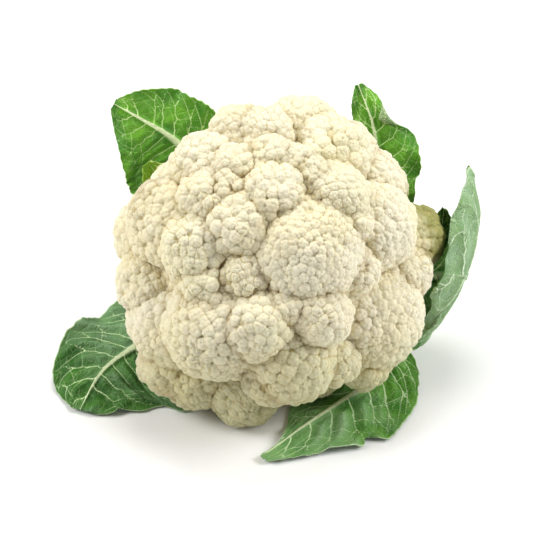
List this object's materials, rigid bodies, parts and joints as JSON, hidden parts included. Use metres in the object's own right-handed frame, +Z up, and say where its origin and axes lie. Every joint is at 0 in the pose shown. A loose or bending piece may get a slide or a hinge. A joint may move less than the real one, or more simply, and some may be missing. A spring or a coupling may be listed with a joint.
{
  "type": "cauliflower",
  "caption": "Whole cauliflower head: a domed cream curd of lobed florets on a cut stalk, with loose green leaves round it, tipped forward as it rests on a table.",
  "frame": {"origin": "under the middle of the bounding box, on the surface that the head rests on", "axes": "+X to the right across the curd as the crown is faced, +Y to the back where the stalk points, +Z up"},
  "size_m": [0.2443, 0.1804, 0.1599],
  "materials": {
    "curd": "matte cream curd, finely granular",
    "stalk": "smooth pale green, satin",
    "leaf": "waxy green leaf with pale veins"
  },
  "bodies": {
    "root": {"curd": "curd", "stalk": "stalk", "leaf_upper_left": "leaf", "leaf_upper_left_inner": "leaf", "leaf_upper_right": "leaf", "leaf_right": "leaf", "leaf_right_inner": "leaf", "leaf_lower_right": "leaf", "leaf_lower_left": "leaf"}
  },
  "joints": []
}
